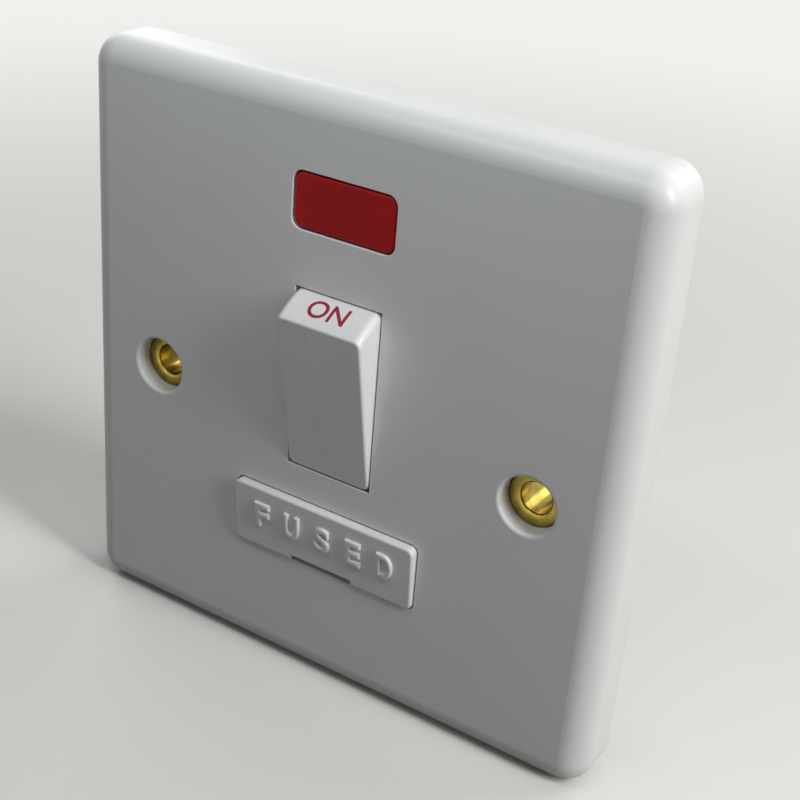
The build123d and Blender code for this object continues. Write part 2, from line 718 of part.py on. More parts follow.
# Fuse carrier: wedge head, grip round the fuse's middle and two hooked legs
carrier_bottom_z = carrier_z - carrier_height / 2
carrier_top_z = carrier_z + carrier_height / 2
with BuildPart() as fuse_carrier:
    with BuildSketch(Plane.YZ):
        with BuildLine():
            Polyline(
                (-head_front, carrier_bottom_z),
                (-head_front, carrier_top_z),
                (-plate_depth - carrier_proud_top, carrier_top_z),
                (-plate_depth - carrier_proud_bottom, carrier_bottom_z),
                close=True,
            )
        make_face()
    extrude(amount=carrier_width / 2, both=True)
    fillet(fuse_carrier.edges().filter_by(Axis.Y), carrier_corner)
    fillet(fuse_carrier.faces().sort_by(Axis.Y)[0].edges(), carrier_edge)
    with BuildSketch(Plane.XZ.offset(plate_depth + carrier_proud_top)):
        with Locations((0, carrier_bottom_z)):
            Rectangle(carrier_slot_width, 2 * carrier_slot_height)
    extrude(amount=-carrier_slot_depth - carrier_proud_top, mode=Mode.SUBTRACT)
    grip_front = fuse_front - carrier_grip_reach
    with BuildSketch(Plane.XZ.offset(grip_front)):
        with Locations((0, carrier_z)):
            Rectangle(carrier_grip, 2 * (ceramic_radius + loose_fit + cradle_wall))
    extrude(amount=head_front - grip_front)
    with BuildSketch(Plane.YZ):
        with Locations((-fuse_front, carrier_z)):
            Circle(ceramic_radius + loose_fit)
    extrude(amount=carrier_grip, both=True, mode=Mode.SUBTRACT)
    with BuildSketch(Plane.XZ.offset(leg_end_front)):
        for side in both_sides:
            with Locations((side * (leg_inner_x + leg_thickness / 2), carrier_z)):
                Rectangle(leg_thickness, leg_width)
    extrude(amount=head_front - leg_end_front)
    with BuildSketch(Plane.XZ.offset(leg_end_front)):
        for side in both_sides:
            with Locations((side * (leg_inner_x + (leg_thickness + leg_hook) / 2), carrier_z)):
                Rectangle(leg_thickness + leg_hook, leg_width)
    extrude(amount=leg_hook_depth)
fuse_carrier.part.label = "fuse_carrier"
export_step(fuse_carrier.part, "parts/fuse_carrier.step")

# Terminals: brass blocks with a wire way from the side and a screw from the back
terminal_places = (
    ("supply_live_terminal", -1, upper_row_z),
    ("supply_neutral_terminal", 1, upper_row_z),
    ("load_neutral_terminal", 1, middle_row_z),
    ("load_live_terminal", 1, lower_row_z),
)
for name, side, row_z in terminal_places:
    with BuildPart() as terminal:
        with BuildSketch(Plane.XZ.offset(column_front)):
            with Locations((side * terminal_x, row_z)):
                RectangleRounded(terminal_width, terminal_height, terminal_edge)
        extrude(amount=terminal_depth)
        with BuildSketch(Plane.YZ):
            with Locations((-wire_front, row_z)):
                Circle(wire_radius)
        extrude(amount=side * base_width / 2, mode=Mode.SUBTRACT)
        with BuildSketch(Plane.XZ.offset(column_front)):
            with Locations((side * terminal_x, row_z)):
                Circle(terminal_screw_bore)
        extrude(amount=wire_above_floor, mode=Mode.SUBTRACT)
    terminal.part.label = name
    export_step(terminal.part, f"parts/{name}.step")

# Earth terminal: one longer bar with two wire ways
earth_rows = (middle_row_z, lower_row_z)
with BuildPart() as earth_terminal:
    earth_length = middle_row_z - lower_row_z + terminal_height
    with BuildSketch(Plane.XZ.offset(column_front)):
        with Locations((-terminal_x, (middle_row_z + lower_row_z) / 2)):
            RectangleRounded(terminal_width, earth_length, terminal_edge)
    extrude(amount=terminal_depth)
    for row_z in earth_rows:
        with BuildSketch(Plane.YZ):
            with Locations((-wire_front, row_z)):
                Circle(wire_radius)
        extrude(amount=-base_width / 2, mode=Mode.SUBTRACT)
        with BuildSketch(Plane.XZ.offset(column_front)):
            with Locations((-terminal_x, row_z)):
                Circle(terminal_screw_bore)
        extrude(amount=wire_above_floor, mode=Mode.SUBTRACT)
earth_terminal.part.label = "earth_terminal"
export_step(earth_terminal.part, "parts/earth_terminal.step")

# Terminal screws, reached through the base's back
screw_places = [(side * terminal_x, row_z) for side in both_sides for row_z in (upper_row_z, *earth_rows)]
with BuildPart() as terminal_screws:
    head_back = column_front - terminal_screw_lift - terminal_screw_head
    with BuildSketch(Plane.XZ.offset(head_back)):
        with Locations(*screw_places):
            Circle(terminal_screw_head_radius)
    extrude(amount=terminal_screw_head)
    with BuildSketch(Plane.XZ.offset(head_back)):
        with Locations(*screw_places):
            Circle(terminal_screw_radius)
    extrude(amount=wire_front - wire_radius - terminal_screw_lift - head_back)
    with BuildSketch(Plane.XZ.offset(head_back)):
        with Locations(*screw_places):
            Rectangle(2 * terminal_screw_head_radius, screw_slot_width)
    extrude(amount=screw_slot_depth, mode=Mode.SUBTRACT)
terminal_screws.part.label = "terminal_screws"
export_step(terminal_screws.part, "parts/terminal_screws.step")

# Rear base: a tub against the plate's floor, shallow in the middle and deep in its terminal columns
strap_room = strap_outline(slide_gap)
with BuildPart() as rear_base:
    with BuildSketch(Plane.XZ.offset(-base_depth)):
        with Locations((0, base_z)):
            RectangleRounded(base_width, base_height, base_corner)
    extrude(amount=base_depth + floor_front)
    fillet(rear_base.faces().sort_by(Axis.Y)[-1].edges(), base_edge)
    with BuildSketch(Plane.XZ.offset(plateau_front)):
        with Locations((0, base_z)):
            Rectangle(base_width - 2 * base_wall, base_height - 2 * base_wall)
    extrude(amount=floor_front - plateau_front, mode=Mode.SUBTRACT)
    column_width = base_width / 2 - base_wall - plateau_half
    with BuildSketch(Plane.XZ.offset(column_front)):
        for side in both_sides:
            with Locations((side * (plateau_half + column_width / 2), base_z)):
                Rectangle(column_width, base_height - 2 * base_wall)
    extrude(amount=plateau_front - column_front, mode=Mode.SUBTRACT)
    with BuildSketch(Plane.XZ.offset(-base_depth)):
        with Locations((0, base_z)):
            Rectangle(2 * (plateau_half - base_wall), base_height - 2 * base_wall)
    extrude(amount=base_depth + plateau_front - base_wall, mode=Mode.SUBTRACT)

    # Posts that close the rocker's bearings
    with BuildSketch(Plane.XZ.offset(plateau_front)):
        with Locations((-ear_x, pivot_z), (ear_x, pivot_z)):
            Rectangle(ear_thickness - slide_gap, 2 * trunnion_radius - slide_gap)
    extrude(amount=pivot_front - trunnion_radius - loose_fit - plateau_front)

    # Screw bosses, with sunk seats in the back
    with BuildSketch(Plane.XZ.offset(column_front)):
        with Locations(*base_screws_at):
            Circle(screw_boss_radius)
    extrude(amount=-column_front)
    with BuildSketch(Plane.XZ.offset(-base_depth)):
        with Locations(*base_screws_at):
            Circle(base_screw_radius + slide_gap)
    extrude(amount=base_depth, mode=Mode.SUBTRACT)
    with BuildSketch(Plane.XZ.offset(-base_depth)):
        with Locations(*base_screws_at):
            Circle(base_screw_head_radius + slide_gap)
    extrude(amount=base_screw_head + base_screw_sink, mode=Mode.SUBTRACT)

    # Ways in for wires and screwdrivers, and room for the wells, the strap and the lamp leads
    with BuildSketch(Plane.XZ.offset(-base_depth)):
        with Locations(*screw_places):
            Circle(terminal_access_radius)
    extrude(amount=base_back, mode=Mode.SUBTRACT)
    for side_x in (-base_width / 2, base_width / 2 - base_wall):
        with BuildSketch(Plane.YZ.offset(side_x)):
            for row_z in (upper_row_z, *earth_rows):
                with Locations((-wire_front, row_z)):
                    Rectangle(wire_window, wire_window)
        extrude(amount=base_wall, mode=Mode.SUBTRACT)
    strap_room_front = strap_front - eyelet_curl - slide_gap
    with BuildSketch(Plane.XZ.offset(strap_room_front)):
        add(strap_room)
        with Locations((-fixing_x, 0), (fixing_x, 0)):
            Circle(pillar_radius + 2 * slide_gap)
    extrude(amount=floor_front - strap_room_front, mode=Mode.SUBTRACT)
    lead_room_front = lead_front - lead_radius - slide_gap
    with BuildSketch(Plane.XZ.offset(lead_room_front)):
        with Locations((-lead_drop_x, base_top - base_wall / 2), (lead_drop_x, base_top - base_wall / 2)):
            Rectangle(2 * (lead_radius + slide_gap), base_wall)
    extrude(amount=floor_front - lead_room_front, mode=Mode.SUBTRACT)
rear_base.part.label = "rear_base"
export_step(rear_base.part, "parts/rear_base.step")

# Screws that hold the base to the plate
with BuildPart() as base_screws:
    seat_front = base_screw_head + base_screw_sink - base_depth
    with BuildSketch(Plane.XZ.offset(seat_front - base_screw_head)):
        with Locations(*base_screws_at):
            Circle(base_screw_head_radius)
    extrude(amount=base_screw_head)
    with BuildSketch(Plane.XZ.offset(seat_front)):
        with Locations(*base_screws_at):
            Circle(base_screw_radius)
    extrude(amount=base_screw_grip - seat_front)
    with BuildSketch(Plane.XZ.offset(seat_front - base_screw_head)):
        with Locations(*base_screws_at):
            Rectangle(2 * base_screw_head_radius, screw_slot_width)
            Rectangle(screw_slot_width, 2 * base_screw_head_radius)
    extrude(amount=screw_slot_depth, mode=Mode.SUBTRACT)
base_screws.part.label = "base_screws"
export_step(base_screws.part, "parts/base_screws.step")
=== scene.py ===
"""Finishes, lettering and stage for a switched fused connection unit."""

import json
import math

import bmesh
import bpy
from bpy.props import FloatProperty, FloatVectorProperty, PointerProperty, StringProperty
from bpy.types import Operator, Panel, PropertyGroup
from mathutils import Matrix, Quaternion, Vector


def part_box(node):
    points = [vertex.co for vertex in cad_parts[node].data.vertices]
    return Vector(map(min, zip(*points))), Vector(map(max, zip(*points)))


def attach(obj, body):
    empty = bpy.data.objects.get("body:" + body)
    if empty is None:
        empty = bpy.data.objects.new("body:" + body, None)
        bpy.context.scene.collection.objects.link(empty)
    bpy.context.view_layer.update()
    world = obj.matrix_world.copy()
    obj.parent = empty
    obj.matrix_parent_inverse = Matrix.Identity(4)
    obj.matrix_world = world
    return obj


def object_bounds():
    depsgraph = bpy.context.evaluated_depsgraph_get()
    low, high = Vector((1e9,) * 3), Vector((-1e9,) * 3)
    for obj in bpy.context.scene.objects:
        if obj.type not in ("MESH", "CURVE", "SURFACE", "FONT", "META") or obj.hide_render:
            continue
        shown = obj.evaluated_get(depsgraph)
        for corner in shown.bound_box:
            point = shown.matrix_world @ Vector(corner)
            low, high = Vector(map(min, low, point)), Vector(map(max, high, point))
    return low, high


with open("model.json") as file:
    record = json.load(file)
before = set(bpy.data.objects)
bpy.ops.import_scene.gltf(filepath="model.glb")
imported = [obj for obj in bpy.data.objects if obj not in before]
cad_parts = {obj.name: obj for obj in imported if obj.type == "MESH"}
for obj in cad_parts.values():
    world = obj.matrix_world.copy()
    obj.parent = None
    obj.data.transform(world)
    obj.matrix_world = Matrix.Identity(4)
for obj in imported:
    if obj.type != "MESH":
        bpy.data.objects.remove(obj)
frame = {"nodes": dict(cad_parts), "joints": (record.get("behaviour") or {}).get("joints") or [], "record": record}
cad_low, cad_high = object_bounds()
plate_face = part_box("front_plate")[0].y

bl_info = {
    "name": "Fused spur unit",
    "version": (1, 0, 0),
    "blender": (4, 5, 0),
    "location": "View3D > Sidebar > Spur unit",
    "description": "Gives the solids of a fused spur unit their finishes, lettering and stage",
    "category": "Object",
}

MILLIMETRE = 0.001
WELD_DISTANCE = 0.001 * MILLIMETRE
SHARP_ANGLE = math.radians(35)
RIGHT = Vector((1, 0, 0))
UP = Vector((0, 0, 1))
BLACK = (0, 0, 0)
WHITE = (1, 1, 1)
SHOWN_RAYS = ("Camera", "Glossy", "Transmission")

# Width and height of each lamp and its place, in metres, and its tint
LAMPS = {
    "key": ((0.16, 0.4), (0.52, -0.07, 0.33), WHITE),
    "back": ((0.5, 0.5), (0.3, 0.5, 0.45), WHITE),
    "fill": ((0.4, 0.4), (-0.5, 0.3, 0.3), WHITE),
    "top": ((0.12, 0.02), (0, -0.063, 0.13), (0.84, 0.93, 1)),
}

# Middle of each of the resistor's bands, as a share of its height, and its colour
RESISTOR_BANDS = (
    (0.22, (0.30, 0.13, 0.05)),
    (0.38, (0.05, 0.05, 0.05)),
    (0.54, (0.62, 0.52, 0.05)),
    (0.80, (0.55, 0.38, 0.10)),
)
RESISTOR_BAND_WIDTH = 0.09

# Letters for the terminal at each wire way
TERMINAL_LETTERS = {
    "supply_live_wire": "L1",
    "supply_neutral_wire": "N1",
    "load_neutral_wire": "N2",
    "load_live_wire": "L2",
    "supply_earth_wire": "E",
    "load_earth_wire": "E",
}


# Properties

def colour(name, description, default):
    """Return a colour property."""
    return FloatVectorProperty(
        name=name, description=description, default=default, subtype="COLOR", size=3, min=0, max=1
    )


def length(name, description, millimetres):
    """Return a length property, whose default is given in millimetres."""
    return FloatProperty(
        name=name, description=description, default=millimetres * MILLIMETRE, unit="LENGTH", precision=5
    )


def share(name, description, default):
    """Return a property that runs from 0 to 1."""
    return FloatProperty(
        name=name, description=description, default=default, min=0, max=1, subtype="FACTOR"
    )


def power(name, description, watts):
    """Return a property for the power of a lamp."""
    return FloatProperty(name=name, description=description, default=watts, unit="POWER", precision=3)


def word(name, description, default):
    """Return a property for a word of the lettering."""
    return StringProperty(name=name, description=description, default=default)


class SpurPlastics(PropertyGroup):
    """Colours, gloss and grain of the moulded pieces."""

    plate_colour: colour("Plate", "Moulded cover plate", (0.80, 0.80, 0.785))
    rocker_colour: colour("Rocker", "Rocker key", (0.82, 0.815, 0.80))
    carrier_colour: colour("Carrier", "Fuse carrier", (0.80, 0.80, 0.79))
    base_colour: colour("Base", "Rear housing", (0.74, 0.735, 0.70))
    tray_colour: colour("Tray", "Tray of the neon lamp", (0.76, 0.75, 0.70))
    nylon_colour: colour("Nylon", "Plungers of the switch", (0.80, 0.78, 0.70))
    speck_colour: colour("Specks", "Tiny specks in the plastic", (0.30, 0.27, 0.22))
    plate_roughness: share("Plate roughness", "Roughness of the cover plate", 0.36)
    rocker_roughness: share("Rocker roughness", "Roughness of the rocker", 0.28)
    base_roughness: share("Base roughness", "Roughness of the rear housing", 0.5)
    grain_depth: length("Grain depth", "Depth of the mould's fine grain", 0.004)
    edge_softness: length("Edge softness", "Radius that sharp moulded edges seem to have", 0.05)


class SpurMetals(PropertyGroup):
    """Colours of the metal pieces."""

    brass_colour: colour("Brass", "Clean stamped brass", (0.72, 0.56, 0.24))
    tarnish_colour: colour("Tarnish", "Stamped brass that has darkened", (0.42, 0.30, 0.10))
    # The eyelets' brass is darkened all over with painted shade of the deep wells; the darker colour carries
    # tarnish patches and painted shade towards the rim
    eyelet_shaded_colour: colour("Eyelets", "Clean brass of the eyelets", (0.56, 0.43, 0.09))
    eyelet_tarnish_and_shade_colour: colour("Eyelet tarnish", "Darkened brass of the eyelets", (0.20, 0.15, 0.025))
    zinc_colour: colour("Zinc", "Plated screws", (0.64, 0.65, 0.68))
    passivation_colour: colour("Passivation", "Yellow tint on the plated screws", (0.66, 0.60, 0.42))
    spring_colour: colour("Spring", "Drawn steel wire", (0.46, 0.46, 0.48))
    silver_colour: colour("Silver", "Contact rivets", (0.86, 0.85, 0.82))
    nickel_colour: colour("Nickel", "End caps of the fuse", (0.70, 0.68, 0.63))
    tin_colour: colour("Tin", "Tinned lamp leads", (0.68, 0.67, 0.65))


class SpurNeon(PropertyGroup):
    """Colours of the neon window, of what lies behind it and of the fuse's body."""

    lens_colour: colour("Lens", "Red of the lens's middle", (0.43, 0.003, 0.004))
    # Lighter red towards the lens's sides is painted light, for light coming through its edges
    lens_lit_rim_colour: colour("Lens rim", "Red of the lens towards its sides", (0.62, 0.004, 0.005))
    glass_colour: colour("Glass", "Lamp glass", (0.95, 0.90, 0.85))
    resistor_colour: colour("Resistor", "Lacquered body of the resistor", (0.60, 0.42, 0.24))
    ceramic_colour: colour("Ceramic", "Body of the cartridge fuse", (0.80, 0.77, 0.69))


class SpurLettering(PropertyGroup):
    """Words and sizes of the print on the rocker and of the raised letters."""

    rocker_word: word("Rocker word", "Printed on the rocker's end", "ON")
    print_colour: colour("Print", "Ink on the rocker's end", (0.30, 0.008, 0.035))
    print_height: length("Print height", "Height of the printed letters", 2.75)
    print_edge_gap: length("Print edge gap", "From the rocker's front edge to the printed line", 1.4)
    print_weight: length("Print weight", "Added to the outline of the printed letters", 0.05)
    print_proud: length("Print thickness", "Ink above the plastic", 0.015)
    carrier_word: word("Carrier word", "Raised on the fuse carrier", "FUSED")
    raised_height: length("Raised letters", "Height of the carrier's letters", 3.5)
    raised_width: length("Letter width", "Width of each of the carrier's letters", 2.6)
    raised_shift: length("Letter shift", "Of the carrier's word to the right of the middle", 0.4)
    raised_pitch: length("Letter pitch", "From one letter of the carrier to the next", 5.2)
    raised_drop: length("Letter drop", "From the carrier's top to the middle of its letters", 4.25)
    raised_weight: length("Letter weight", "Added to the outline of the carrier's letters", 0.24)
    raised_depth: length("Letter relief", "How far the carrier's letters stand out", 0.45)
    raised_edge: length("Letter edge", "Rounding of the carrier's letters", 0.3)
    marking_height: length("Marking height", "Height of the letters beside the terminals", 2.4)
    marking_drop: length("Marking drop", "From a terminal screw down to its letters", 5.0)
    marking_weight: length("Marking weight", "Added to the outline of the terminals' letters", 0.05)
    marking_depth: length("Marking relief", "How far the terminals' letters stand out", 0.25)
    marking_edge: length("Marking edge", "Rounding of the terminals' letters", 0.06)


class SpurStage(PropertyGroup):
    """Camera, light and floor."""

    camera_place: FloatVectorProperty(
        name="Camera place", description="Where the camera stands", default=(0.0977, -0.15395, 0.09416),
        size=3, subtype="TRANSLATION", unit="LENGTH"
    )
    camera_aim: FloatVectorProperty(
        name="Camera aim", description="Point on the plate's face that the camera looks at",
        default=(0.0105, plate_face, 0.00828), size=3, subtype="TRANSLATION", unit="LENGTH"
    )
    camera_roll: FloatProperty(
        name="Camera roll", description="Turn of the camera about its own axis",
        default=math.radians(4.81), subtype="ANGLE"
    )
    camera_lens: FloatProperty(
        name="Focal length", description="Of the camera, in millimetres", default=66.65, unit="CAMERA"
    )
    floor_colour: colour("Floor", "Plain pale floor", (0.86, 0.85, 0.81))
    backdrop_colour: colour("Backdrop", "Pale world behind the object", (0.88, 0.88, 0.86))
    floor_size: length("Floor size", "Width of the floor", 4000)
    fade_start: length("Fade start", "Where the floor starts to fade into the backdrop", 100)
    fade_end: length("Fade end", "Where the floor has faded into the backdrop", 450)
    key_power: power("Key power", "Of the main lamp, in watts", 2.7)
    back_power: power("Back power", "Of the lamp behind the plate on its right, in watts", 1.55)
    fill_power: power("Fill power", "Of the lamp behind the plate on its left, in watts", 1.0)
    top_power: power("Top power", "Of the lamp above the plate's face, in watts", 0.04)
    sky_level: share("Sky level", "Even light from all sides", 0.13)
    floor_bounce: share("Floor bounce", "Share of the floor's colour that lights the object", 0.2)


# Shader maths

class Wire:
    """An output socket that takes part in Python expressions, each of which adds a Math node."""

    def __init__(self, nodes, socket):
        self.nodes = nodes
        self.socket = socket

    def __add__(self, other):
        return self.nodes.math("ADD", self, other)

    def __radd__(self, other):
        return self.nodes.math("ADD", other, self)

    def __sub__(self, other):
        return self.nodes.math("SUBTRACT", self, other)

    def __rsub__(self, other):
        return self.nodes.math("SUBTRACT", other, self)

    def __mul__(self, other):
        return self.nodes.math("MULTIPLY", self, other)

    def __rmul__(self, other):
        return self.nodes.math("MULTIPLY", other, self)

    def __truediv__(self, other):
        return self.nodes.math("DIVIDE", self, other)

    def __rtruediv__(self, other):
        return self.nodes.math("DIVIDE", other, self)

    def __pow__(self, other):
        return self.nodes.math("POWER", self, other)

    def __rpow__(self, other):
        return self.nodes.math("POWER", other, self)

    def __gt__(self, other):
        return self.nodes.math("GREATER_THAN", self, other)

    def __lt__(self, other):
        return self.nodes.math("LESS_THAN", self, other)

    def __abs__(self):
        return self.nodes.math("ABSOLUTE", self)


class Nodes:
    """A node tree, to which nodes are added one call at a time."""

    def __init__(self, tree):
        self.tree = tree

    def plug(self, socket, value):
        """Link a wire to the socket, or set the socket's own value."""
        if isinstance(value, Wire):
            self.tree.links.new(value.socket, socket)
        else:
            socket.default_value = value

    def node(self, kind, settings=None, sockets=None, output=0):
        """Add a node with its settings, then its sockets' values or links, and return one output."""
        made = self.tree.nodes.new(kind)
        for name, value in (settings or {}).items():
            setattr(made, name, value)
        for name, value in (sockets or {}).items():
            self.plug(made.inputs[name], value)
        return Wire(self, made.outputs[output])

    def math(self, operation, *values):
        """Add a Math node for numbers."""
        return self.node("ShaderNodeMath", {"operation": operation}, dict(enumerate(values)))

    def clamp(self, value):
        """Keep a value between 0 and 1."""
        return self.node("ShaderNodeClamp", None, {"Value": value})

    def blend(self, factor, first, second):
        """Mix two colours, in the sockets that a Mix node has for colours."""
        sockets = {0: factor, 6: first, 7: second}
        return self.node("ShaderNodeMix", {"data_type": "RGBA"}, sockets, output=2)

    def shades(self, factor, base_colour, first, second):
        """Mix two shades of one colour, each given as a factor on it."""
        return self.blend(factor, opaque(base_colour, first), opaque(base_colour, second))

    def shown(self):
        """Return 1 where the camera sees the stage, also in a reflection or through glass, and else 0."""
        camera, glossy, through = [
            self.node("ShaderNodeLightPath", output=f"Is {kind} Ray") for kind in SHOWN_RAYS
        ]
        return self.clamp(camera + glossy + through)


class Finish(Nodes):
    """One procedural material round a Principled shader."""

    def __init__(self, name, **constants):
        self.material = bpy.data.materials.new(name)
        self.material.use_nodes = True
        super().__init__(self.material.node_tree)
        self.shader = self.tree.nodes["Principled BSDF"]
        self.place = self.node("ShaderNodeTexCoord", output="Object")
        for socket, value in constants.items():
            self.set(socket.replace("_", " "), value)

    def set(self, socket, value):
        """Give one of the shader's sockets a value or a link."""
        self.plug(self.shader.inputs[socket], value)

    def paint(self, base_colour, roughness, normal):
        """Link what changes over the surface."""
        self.set("Base Color", base_colour)
        self.set("Roughness", roughness)
        self.set("Normal", normal)

    def axis(self, name):
        """Return one coordinate of the surface, in metres."""
        return self.node("ShaderNodeSeparateXYZ", None, {"Vector": self.place}, output=name)

    def noise(self, size, detail=2, stretch=(1, 1, 1)):
        """Return noise from 0 to 1, whose features are of that size in metres, longer where stretched."""
        scale = [1 / (size * factor) for factor in stretch]
        vector = self.node("ShaderNodeVectorMath", {"operation": "MULTIPLY"}, {0: self.place, 1: scale})
        return self.node("ShaderNodeTexNoise", None, {"Vector": vector, "Scale": 1, "Detail": detail})

    def soft_edges(self, radius):
        """Return normals that round off sharp edges."""
        return self.node("ShaderNodeBevel", {"samples": 4}, {"Radius": radius})

    def bump(self, height, depth, normal=None):
        """Return normals of a relief of that depth in metres, on top of other normals."""
        sockets = {"Height": height, "Distance": depth}
        if normal:
            sockets["Normal"] = normal
        return self.node("ShaderNodeBump", None, sockets)


def opaque(values, factor=1.0):
    """Return a colour with its alpha, darkened or lightened by a factor."""
    return (*[value * factor for value in values], 1)


def between(factor, low, high):
    """Return what runs from low to high while the factor runs from 0 to 1."""
    return factor * (high - low) + low


# Finishes

def moulded_finish(name, plastics, base_colour, roughness, coarseness=1):
    """A moulded plastic: faint clouds and specks, rubbed patches, a fine grain and a slow ripple."""
    speck_threshold = 0.76
    speck_strength = 0.12
    rub_reach = 0.06
    grain_depth = coarseness * plastics.grain_depth
    ripple_depth = 2 * grain_depth
    finish = Finish(name, IOR=1.5)
    clouds = finish.noise(22 * MILLIMETRE, detail=3)
    rubbed = finish.noise(9 * MILLIMETRE, detail=5, stretch=(1, 1, 2))
    specks = finish.noise(0.9 * MILLIMETRE) > speck_threshold
    grain = finish.noise(0.35 * MILLIMETRE, detail=3)
    ripple = finish.noise(14 * MILLIMETRE, detail=0)
    body = finish.shades(clouds, base_colour, 1.03, 0.95)
    body = finish.blend(specks * speck_strength, body, opaque(plastics.speck_colour))
    normal = finish.bump(ripple, ripple_depth, finish.soft_edges(plastics.edge_softness))
    normal = finish.bump(grain, grain_depth, normal)
    finish.paint(body, between(rubbed, roughness - rub_reach, roughness + rub_reach), normal)
    return finish


def brass_finish(name, metals, stretch, roughness=0.3):
    """Brass with drawn or stamped streaks and some tarnish."""
    streak_roughness = 0.12
    tarnish_roughness = 0.18
    streak_depth = 0.004 * MILLIMETRE
    edge_softness = 0.1 * MILLIMETRE
    finish = Finish(name, Metallic=1.0)
    patches = finish.noise(7 * MILLIMETRE, detail=6)
    streaks = finish.noise(0.12 * MILLIMETRE, detail=2, stretch=stretch)
    tarnish = finish.clamp(between(patches, -0.7, 1.1) + between(streaks, -0.175, 0.175))
    body = finish.blend(tarnish, opaque(metals.brass_colour), opaque(metals.tarnish_colour))
    normal = finish.bump(streaks, streak_depth, finish.soft_edges(edge_softness))
    clean = between(streaks, roughness - streak_roughness, roughness)
    finish.paint(body, clean + tarnish * tarnish_roughness, normal)
    return finish


def eyelet_finish(name, metals, low, high):
    """Brass turned about an axis along Y through the middle of its box, with fine rings, tarnish patches and
    painted shade that darkens it towards its rim.
    """
    ring_pitch = 0.22 * MILLIMETRE
    ring_depth = 0.003 * MILLIMETRE
    edge_softness = 0.1 * MILLIMETRE
    rim_painted_shade = 1.6
    tarnish_roughness = 0.14
    finish = Finish(name, Metallic=1.0)
    centre = (low + high) / 2
    rim_radius = (high.x - low.x) / 2
    from_centre = ((finish.axis("X") - centre.x) ** 2 + (finish.axis("Z") - centre.z) ** 2) ** 0.5
    rings = finish.math("SINE", from_centre * (math.tau / ring_pitch)) * 0.5 + 0.5
    patches = finish.noise(1.6 * MILLIMETRE, detail=4)
    # Tarnish patches plus painted shade that grows from the bore out to the rim
    tarnish = finish.clamp(between(patches, -1.45, 0.15) + from_centre * (rim_painted_shade / rim_radius))
    body = finish.blend(tarnish, opaque(metals.eyelet_shaded_colour), opaque(metals.eyelet_tarnish_and_shade_colour))
    normal = finish.bump(rings, ring_depth, finish.soft_edges(edge_softness))
    finish.paint(body, between(rings, 0.16, 0.21) + tarnish * tarnish_roughness, normal)
    return finish


def plated_finish(name, base_colour, tint_colour, roughness):
    """Plated or drawn metal with cloudy tint and fine scratches."""
    scratch_roughness = 0.14
    tint_roughness = 0.08
    scratch_depth = 0.003 * MILLIMETRE
    edge_softness = 0.08 * MILLIMETRE
    finish = Finish(name, Metallic=1.0)
    tint = finish.clamp(between(finish.noise(1.8 * MILLIMETRE, detail=4), -0.6, 1.4))
    scratches = finish.noise(0.1 * MILLIMETRE, detail=3, stretch=(1, 8, 3))
    body = finish.blend(tint, opaque(base_colour), opaque(tint_colour))
    normal = finish.bump(scratches, scratch_depth, finish.soft_edges(edge_softness))
    clean = between(scratches, roughness, roughness + scratch_roughness)
    finish.paint(body, clean + tint * tint_roughness, normal)
    return finish


def ceramic_finish(name, base_colour):
    """Unglazed ceramic: warm patches, fine pits and a dry surface."""
    pit_depth = 0.02 * MILLIMETRE
    edge_softness = 0.1 * MILLIMETRE
    finish = Finish(name)
    patches = finish.noise(4 * MILLIMETRE, detail=4)
    pits = finish.noise(0.25 * MILLIMETRE, detail=3)
    body = finish.shades(patches, base_colour, 1.05, 0.88)
    normal = finish.bump(pits, pit_depth, finish.soft_edges(edge_softness))
    finish.paint(body, between(pits, 0.5, 0.7), normal)
    return finish


def lens_finish(name, neon, low, high):
    """Red acrylic with painted light: lighter towards the sides of the window, as if lit through its edges, and
    deeper in the middle.
    """
    rim_light_falloff = 3
    frost_depth = 0.003 * MILLIMETRE
    finish = Finish(name, IOR=1.49, Specular_IOR_Level=0.2)
    middle = (low + high) / 2
    across = abs(finish.axis("X") - middle.x) / ((high.x - low.x) / 2)
    along = abs(finish.axis("Z") - middle.z) / ((high.z - low.z) / 2)
    # Painted light towards the window's sides, mixed below with random cloudy tone
    rim = finish.clamp(finish.math("MAXIMUM", across, along) ** rim_light_falloff)
    cloud = finish.noise(3 * MILLIMETRE, detail=3)
    frost = finish.noise(0.3 * MILLIMETRE)
    rim_light_and_cloud = finish.clamp(between(rim, 0.1, 0.9) + between(cloud, -0.25, 0.25))
    body = finish.blend(rim_light_and_cloud, opaque(neon.lens_colour), opaque(neon.lens_lit_rim_colour))
    finish.paint(body, between(frost, 0.2, 0.32), finish.bump(frost, frost_depth))
    return finish


def glass_finish(name, base_colour):
    """Clear lamp glass with a slight waviness."""
    wave_depth = 0.01 * MILLIMETRE
    finish = Finish(name, IOR=1.47, Transmission_Weight=1.0)
    waves = finish.noise(1.5 * MILLIMETRE)
    body = finish.shades(waves, base_colour, 1, 0.94)
    finish.paint(body, between(waves, 0.02, 0.08), finish.bump(waves, wave_depth))
    return finish


def resistor_finish(name, base_colour, low, high):
    """Lacquered resistor with colour bands round it."""
    lacquer_depth = 0.01 * MILLIMETRE
    finish = Finish(name, IOR=1.5)
    height = (finish.axis("Z") - low.z) / (high.z - low.z)
    lacquer = finish.noise(0.6 * MILLIMETRE, detail=3)
    body = finish.shades(lacquer, base_colour, 1.06, 0.88)
    for middle, band_colour in RESISTOR_BANDS:
        inside = abs(height - middle) < RESISTOR_BAND_WIDTH / 2
        body = finish.blend(inside, body, opaque(band_colour))
    finish.paint(body, between(lacquer, 0.25, 0.4), finish.bump(lacquer, lacquer_depth))
    return finish


def ink_finish(name, base_colour):
    """Printed ink, a little uneven in thickness."""
    ink_depth = 0.004 * MILLIMETRE
    finish = Finish(name, IOR=1.45)
    coverage = finish.noise(0.25 * MILLIMETRE, detail=4)
    body = finish.shades(coverage, base_colour, 0.85, 1.2)
    finish.paint(body, between(coverage, 0.4, 0.6), finish.bump(coverage, ink_depth))
    return finish


